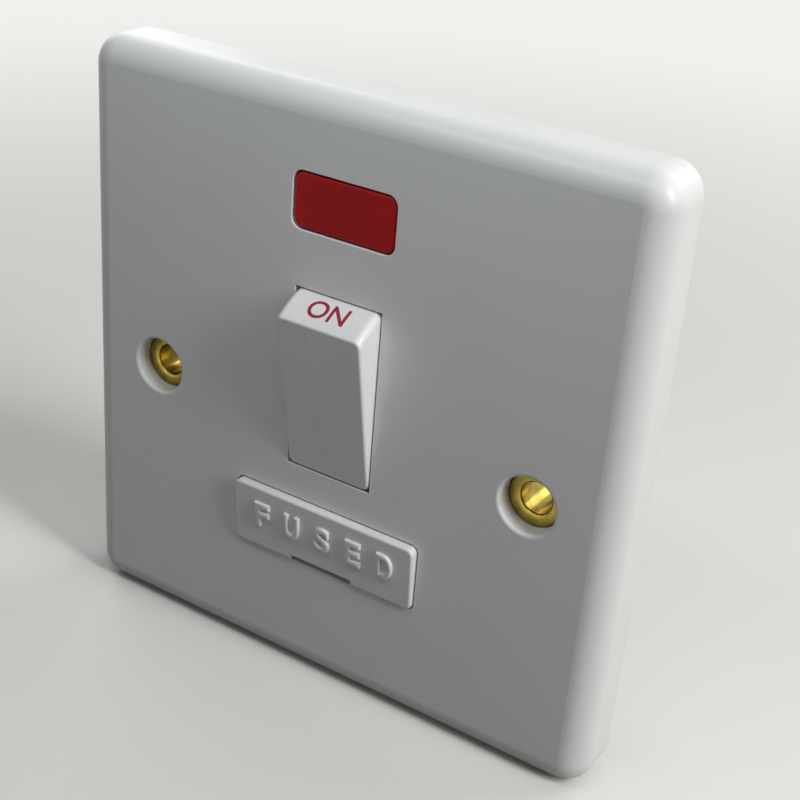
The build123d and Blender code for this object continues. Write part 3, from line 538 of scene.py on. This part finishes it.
def floor_finish(name, settings):
    """A pale floor that fades into the backdrop, and throws back only a share of the light on it."""
    tone_depth = 0.01 * MILLIMETRE
    finish = Finish(name, Specular_IOR_Level=0.0, Emission_Strength=1.0)
    tone = finish.noise(60 * MILLIMETRE, detail=3)
    shown = finish.shown()
    distance = (finish.axis("X") ** 2 + finish.axis("Y") ** 2) ** 0.5
    fade = finish.clamp((distance - settings.fade_start) / (settings.fade_end - settings.fade_start))
    smooth_fade = fade * fade * (3 - 2 * fade) * shown
    body = finish.shades(tone, settings.floor_colour, 1.02, 0.97)
    body = finish.blend(shown, opaque(settings.floor_colour, settings.floor_bounce), body)
    body = finish.blend(smooth_fade, body, opaque(BLACK))
    finish.paint(body, between(tone, 0.55, 0.65), finish.bump(tone, tone_depth))
    glow = finish.blend(smooth_fade, opaque(BLACK), opaque(settings.backdrop_colour))
    finish.set("Emission Color", glow)
    return finish


def dress(finish, *names):
    """Give solids of the frame a finish in place of their packed one."""
    for name in names:
        frame["nodes"][name].material_slots[0].material = finish.material


# Lettering

def letter_mesh(letters, height, weight, relief, edge=0.0):
    """Return letters as a mesh round the origin, x along the line, y up and z out of the surface."""
    curve = bpy.data.curves.new("letters", "FONT")
    curve.body = letters
    curve.fill_mode = "BOTH"
    writer = bpy.data.objects.new("letters", curve)
    bpy.context.scene.collection.objects.link(writer)
    bpy.context.view_layer.update()
    curve.size *= height / writer.dimensions.y
    curve.offset = weight - edge
    curve.extrude = max(relief - edge, 0)
    curve.bevel_depth = edge
    curve.bevel_resolution = 3
    graph = bpy.context.evaluated_depsgraph_get()
    mesh = bpy.data.meshes.new_from_object(writer.evaluated_get(graph))
    bpy.data.objects.remove(writer)
    bpy.data.curves.remove(curve)
    points = [vertex.co for vertex in mesh.vertices]
    middle_x = (min(point.x for point in points) + max(point.x for point in points)) / 2
    middle_y = (min(point.y for point in points) + max(point.y for point in points)) / 2
    mesh.transform(Matrix.Translation((-middle_x, -middle_y, 0)))
    return mesh


def surface_matrix(origin, right, up):
    """Return the matrix that sets letters on a surface at the origin."""
    matrix = Matrix((right, up, right.cross(up))).transposed().to_4x4()
    matrix.translation = origin
    return matrix


def joined(name, placed):
    """Return one mesh of several meshes, each with the matrix that places it."""
    whole = bmesh.new()
    for mesh, matrix in placed:
        mesh.transform(matrix)
        whole.from_mesh(mesh)
        bpy.data.meshes.remove(mesh)
    bmesh.ops.remove_doubles(whole, verts=whole.verts, dist=WELD_DISTANCE)
    bmesh.ops.recalc_face_normals(whole, faces=whole.faces)
    mesh = bpy.data.meshes.new(name)
    whole.to_mesh(mesh)
    whole.free()
    return mesh


def add_piece(name, mesh, finish, body):
    """Add a piece of the object that rides on a body."""
    for polygon in mesh.polygons:
        polygon.use_smooth = True
    mesh.set_sharp_from_angle(angle=SHARP_ANGLE)
    mesh.materials.clear()
    mesh.materials.append(finish.material)
    piece = bpy.data.objects.new(name, mesh)
    bpy.context.scene.collection.objects.link(piece)
    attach(piece, body)


def joint_named(name):
    """Return one of the frame's joints."""
    for joint in frame["joints"]:
        if joint["name"] == name:
            return joint
    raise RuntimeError(f"the frame has no joint named {name}")


def rocker_print(lettering):
    """Return the rocker's word, laid round its upper end, which is an arc about the rocker's axis."""
    pivot = Vector(joint_named("rocker_tilt")["pos_m"])
    arms = [vertex.co - pivot for vertex in frame["nodes"]["rocker"].data.vertices]
    radius = max(math.hypot(arm.y, arm.z) for arm in arms)
    tolerance = 0.02 * MILLIMETRE
    angles = [math.atan2(arm.z, -arm.y) for arm in arms if math.hypot(arm.y, arm.z) > radius - tolerance]
    front_edge = min(angle for angle in angles if angle > 0)
    letters = letter_mesh(
        lettering.rocker_word, lettering.print_height, lettering.print_weight, lettering.print_proud
    )
    mesh = joined("rocker_print", [(letters, Matrix())])
    strips = bmesh.new()
    strips.from_mesh(mesh)
    strip_count = 10
    for step in range(1, strip_count):
        cut = Vector((0, (step / strip_count - 0.5) * lettering.print_height, 0))
        everything = strips.verts[:] + strips.edges[:] + strips.faces[:]
        bmesh.ops.bisect_plane(strips, geom=everything, plane_co=cut, plane_no=Vector((0, 1, 0)))
    for vertex in strips.verts:
        along = lettering.print_edge_gap + lettering.print_height / 2 + vertex.co.y
        angle = front_edge + along / radius
        reach = radius + vertex.co.z
        vertex.co = pivot + Vector((vertex.co.x, -math.cos(angle) * reach, math.sin(angle) * reach))
    bmesh.ops.remove_doubles(strips, verts=strips.verts, dist=WELD_DISTANCE)
    strips.to_mesh(mesh)
    strips.free()
    return mesh


def carrier_letters(lettering):
    """Return the carrier's raised word, one letter at an even pitch, on its sloping face."""
    front_limit = -0.9
    solid = frame["nodes"]["fuse_carrier"].data
    front = [polygon for polygon in solid.polygons if polygon.normal.y < front_limit]
    face = max(front, key=lambda polygon: polygon.area)
    up = face.normal.cross(RIGHT).normalized()
    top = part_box("fuse_carrier")[1].z
    row = face.center + up * ((top - lettering.raised_drop - face.center.z) / up.z)
    middle = (len(lettering.carrier_word) - 1) / 2
    placed = []
    for index, letter in enumerate(lettering.carrier_word):
        mesh = letter_mesh(
            letter, lettering.raised_height, lettering.raised_weight,
            lettering.raised_depth, lettering.raised_edge
        )
        narrowing = lettering.raised_width / (max(vertex.co.x for vertex in mesh.vertices) * 2)
        mesh.transform(Matrix.Diagonal((narrowing, 1, 1, 1)))
        across = (index - middle) * lettering.raised_pitch + lettering.raised_shift
        placed.append((mesh, surface_matrix(Vector((across, row.y, row.z)), RIGHT, up)))
    return joined("carrier_letters", placed)


def terminal_markings(lettering):
    """Return the raised letters beside the terminal screws, to be read from behind."""
    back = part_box("rear_base")[1].y
    wire_ways = {mount["name"]: Vector(mount["pos_m"]) for mount in frame["record"]["mounts"]}
    placed = []
    for name, letters in TERMINAL_LETTERS.items():
        mesh = letter_mesh(
            letters, lettering.marking_height, lettering.marking_weight,
            lettering.marking_depth, lettering.marking_edge
        )
        at = Vector((wire_ways[name].x, back, wire_ways[name].z - lettering.marking_drop))
        placed.append((mesh, surface_matrix(at, -RIGHT, UP)))
    return joined("terminal_markings", placed)


# Operators

class SPUR_OT_cover_plate(Operator):
    """Finish the moulded cover plate"""

    bl_idname = "spur.cover_plate"
    bl_label = "Cover plate"

    def execute(self, context):
        plastics = context.scene.spur_plastics
        finish = moulded_finish(
            "moulded_plate", plastics, plastics.plate_colour, plastics.plate_roughness
        )
        dress(finish, "front_plate")
        return {"FINISHED"}


class SPUR_OT_rocker(Operator):
    """Finish the rocker and print its end"""

    bl_idname = "spur.rocker"
    bl_label = "Rocker"

    def execute(self, context):
        plastics = context.scene.spur_plastics
        lettering = context.scene.spur_lettering
        finish = moulded_finish(
            "moulded_rocker", plastics, plastics.rocker_colour, plastics.rocker_roughness
        )
        dress(finish, "rocker")
        ink = ink_finish("red_print", lettering.print_colour)
        add_piece("rocker_print", rocker_print(lettering), ink, "rocker")
        return {"FINISHED"}


class SPUR_OT_fuse_carrier(Operator):
    """Finish the fuse carrier and raise its letters"""

    bl_idname = "spur.fuse_carrier"
    bl_label = "Fuse carrier"

    def execute(self, context):
        plastics = context.scene.spur_plastics
        finish = moulded_finish(
            "moulded_carrier", plastics, plastics.carrier_colour, plastics.plate_roughness
        )
        dress(finish, "fuse_carrier")
        letters = carrier_letters(context.scene.spur_lettering)
        add_piece("carrier_letters", letters, finish, "carrier")
        return {"FINISHED"}


class SPUR_OT_neon(Operator):
    """Finish the red lens and the lamp, resistor, leads and tray behind it"""

    bl_idname = "spur.neon"
    bl_label = "Neon"

    def execute(self, context):
        neon = context.scene.spur_neon
        plastics = context.scene.spur_plastics
        metals = context.scene.spur_metals
        dress(lens_finish("red_lens", neon, *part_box("neon_lens")), "neon_lens")
        dress(glass_finish("lamp_glass", neon.glass_colour), "neon_lamp")
        bands = resistor_finish("banded_resistor", neon.resistor_colour, *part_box("neon_resistor"))
        dress(bands, "neon_resistor")
        tinned = plated_finish("tinned_leads", metals.tin_colour, metals.spring_colour, roughness=0.25)
        dress(tinned, "neon_leads")
        tray = moulded_finish("moulded_tray", plastics, plastics.tray_colour, plastics.base_roughness)
        dress(tray, "neon_holder")
        return {"FINISHED"}


class SPUR_OT_earth_path(Operator):
    """Finish the brass eyelets and the strap that joins them"""

    bl_idname = "spur.earth_path"
    bl_label = "Eyelets and earth strap"

    def execute(self, context):
        metals = context.scene.spur_metals
        for name in ("left_eyelet", "right_eyelet"):
            dress(eyelet_finish(f"turned_{name}", metals, *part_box(name)), name)
        dress(brass_finish("stamped_strap", metals, stretch=(40, 1, 6)), "earth_strap")
        return {"FINISHED"}


class SPUR_OT_switch(Operator):
    """Finish the plungers, springs and contacts of the switch"""

    bl_idname = "spur.switch"
    bl_label = "Switch mechanism"

    def execute(self, context):
        plastics = context.scene.spur_plastics
        metals = context.scene.spur_metals
        nylon = moulded_finish("turned_nylon", plastics, plastics.nylon_colour, plastics.base_roughness)
        dress(nylon, "live_plunger", "neutral_plunger")
        spring = plated_finish("spring_wire", metals.spring_colour, metals.zinc_colour, roughness=0.28)
        dress(spring, "live_plunger_spring", "neutral_plunger_spring")
        silver = plated_finish("silver_rivets", metals.silver_colour, metals.nickel_colour, roughness=0.18)
        dress(silver, "moving_contact_tips", "fixed_contact_tips")
        bars = brass_finish("stamped_bars", metals, stretch=(1, 1, 40))
        dress(bars, "live_moving_contact", "neutral_moving_contact")
        strips = brass_finish("stamped_strips", metals, stretch=(40, 1, 4))
        dress(strips, "live_fixed_contact", "neutral_fixed_contact", "neutral_pivot_strip")
        return {"FINISHED"}


class SPUR_OT_fuse(Operator):
    """Finish the cartridge fuse and the clips that hold it"""

    bl_idname = "spur.fuse"
    bl_label = "Fuse and clips"

    def execute(self, context):
        metals = context.scene.spur_metals
        dress(ceramic_finish("fuse_ceramic", context.scene.spur_neon.ceramic_colour), "fuse_body")
        caps = plated_finish("nickel_caps", metals.nickel_colour, metals.brass_colour, roughness=0.2)
        dress(caps, "fuse_caps")
        clips = brass_finish("stamped_clips", metals, stretch=(4, 40, 1))
        dress(clips, "fuse_supply_clip", "fuse_load_clip")
        return {"FINISHED"}


class SPUR_OT_terminals(Operator):
    """Finish the terminal blocks and their screws"""

    bl_idname = "spur.terminals"
    bl_label = "Terminals"

    def execute(self, context):
        metals = context.scene.spur_metals
        blocks = brass_finish("drawn_blocks", metals, stretch=(1, 1, 40), roughness=0.34)
        dress(
            blocks, "supply_live_terminal", "supply_neutral_terminal", "load_live_terminal",
            "load_neutral_terminal", "earth_terminal"
        )
        screws = brass_finish("turned_screws", metals, stretch=(6, 1, 6), roughness=0.26)
        dress(screws, "terminal_screws")
        return {"FINISHED"}


class SPUR_OT_rear_base(Operator):
    """Finish the rear housing with its markings and screws"""

    bl_idname = "spur.rear_base"
    bl_label = "Rear housing"

    def execute(self, context):
        plastics = context.scene.spur_plastics
        metals = context.scene.spur_metals
        finish = moulded_finish(
            "moulded_base", plastics, plastics.base_colour, plastics.base_roughness, coarseness=2
        )
        dress(finish, "rear_base")
        markings = terminal_markings(context.scene.spur_lettering)
        add_piece("terminal_markings", markings, finish, "unit")
        screws = plated_finish(
            "plated_screws", metals.zinc_colour, metals.passivation_colour, roughness=0.24
        )
        dress(screws, "base_screws")
        return {"FINISHED"}


class SPUR_OT_stage(Operator):
    """Set up the floor, the light and the camera"""

    bl_idname = "spur.stage"
    bl_label = "Stage"

    def execute(self, context):
        settings = context.scene.spur_stage
        context.scene.view_settings.view_transform = "Standard"
        self.add_floor(context.scene, settings)
        self.light_world(context.scene, settings)
        for name, form in LAMPS.items():
            self.add_lamp(context.scene, name, getattr(settings, f"{name}_power"), *form)
        self.add_camera(context.scene, settings)
        return {"FINISHED"}

    def add_floor(self, scene, settings):
        """Add the floor under the plate's lower edge."""
        half = settings.floor_size / 2
        level = cad_low.z
        corners = [(-half, -half, level), (half, -half, level), (half, half, level), (-half, half, level)]
        mesh = bpy.data.meshes.new("floor")
        mesh.from_pydata(corners, [], [(0, 1, 2, 3)])
        mesh.materials.append(floor_finish("pale_floor", settings).material)
        floor = bpy.data.objects.new("floor", mesh)
        scene.collection.objects.link(floor)

    def light_world(self, scene, settings):
        """Light the object evenly, and show a pale background to the camera and in reflections."""
        scene.world = bpy.data.worlds.new("studio")
        scene.world.use_nodes = True
        nodes = Nodes(scene.world.node_tree)
        sky = opaque(WHITE, settings.sky_level)
        seen = nodes.blend(nodes.shown(), sky, opaque(settings.backdrop_colour))
        nodes.plug(scene.world.node_tree.nodes["Background"].inputs["Color"], seen)

    def add_lamp(self, scene, name, watts, size, place, tint):
        """Add a lamp that faces the point midway between the fixing screws."""
        lamp = bpy.data.lights.new(name, "AREA")
        lamp.energy = watts
        lamp.color = tint
        lamp.shape = "RECTANGLE"
        lamp.size, lamp.size_y = size
        holder = bpy.data.objects.new(name, lamp)
        holder.location = place
        holder.rotation_mode = "QUATERNION"
        holder.rotation_quaternion = (-Vector(place)).to_track_quat("-Z", "Y")
        scene.collection.objects.link(holder)

    def add_camera(self, scene, settings):
        """Look at the plate from its upper right."""
        lens = bpy.data.cameras.new("camera")
        lens.lens = settings.camera_lens
        lens.clip_start = MILLIMETRE
        place = Vector(settings.camera_place)
        forward = (Vector(settings.camera_aim) - place).normalized()
        roll = Quaternion(-forward, settings.camera_roll)
        camera = bpy.data.objects.new("camera", lens)
        camera.location = place
        camera.rotation_mode = "QUATERNION"
        camera.rotation_quaternion = roll @ forward.to_track_quat("-Z", "Y")
        scene.collection.objects.link(camera)
        scene.camera = camera


OPERATORS = (
    SPUR_OT_cover_plate, SPUR_OT_rocker, SPUR_OT_fuse_carrier, SPUR_OT_neon, SPUR_OT_earth_path,
    SPUR_OT_switch, SPUR_OT_fuse, SPUR_OT_terminals, SPUR_OT_rear_base, SPUR_OT_stage,
)


class SPUR_PT_sidebar(Panel):
    """Lists the steps that dress the unit"""

    bl_label = "Fused spur unit"
    bl_idname = "SPUR_PT_sidebar"
    bl_space_type = "VIEW_3D"
    bl_region_type = "UI"
    bl_category = "Spur unit"

    def draw(self, context):
        for operator in OPERATORS:
            self.layout.operator(operator.bl_idname)


SETTINGS = {
    "spur_plastics": SpurPlastics,
    "spur_metals": SpurMetals,
    "spur_neon": SpurNeon,
    "spur_lettering": SpurLettering,
    "spur_stage": SpurStage,
}
CLASSES = (*SETTINGS.values(), *OPERATORS, SPUR_PT_sidebar)


def register():
    """Register the classes and hang the settings on the scene."""
    for each in CLASSES:
        bpy.utils.register_class(each)
    for name, group in SETTINGS.items():
        setattr(bpy.types.Scene, name, PointerProperty(type=group))


def unregister():
    """Undo what register does."""
    for name in SETTINGS:
        delattr(bpy.types.Scene, name)
    for each in reversed(CLASSES):
        bpy.utils.unregister_class(each)


def main():
    """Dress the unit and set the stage."""
    register()
    bpy.ops.spur.cover_plate()
    bpy.ops.spur.rocker()
    bpy.ops.spur.fuse_carrier()
    bpy.ops.spur.neon()
    bpy.ops.spur.earth_path()
    bpy.ops.spur.switch()
    bpy.ops.spur.fuse()
    bpy.ops.spur.terminals()
    bpy.ops.spur.rear_base()
    bpy.ops.spur.stage()


if __name__ == "__main__":
    main()
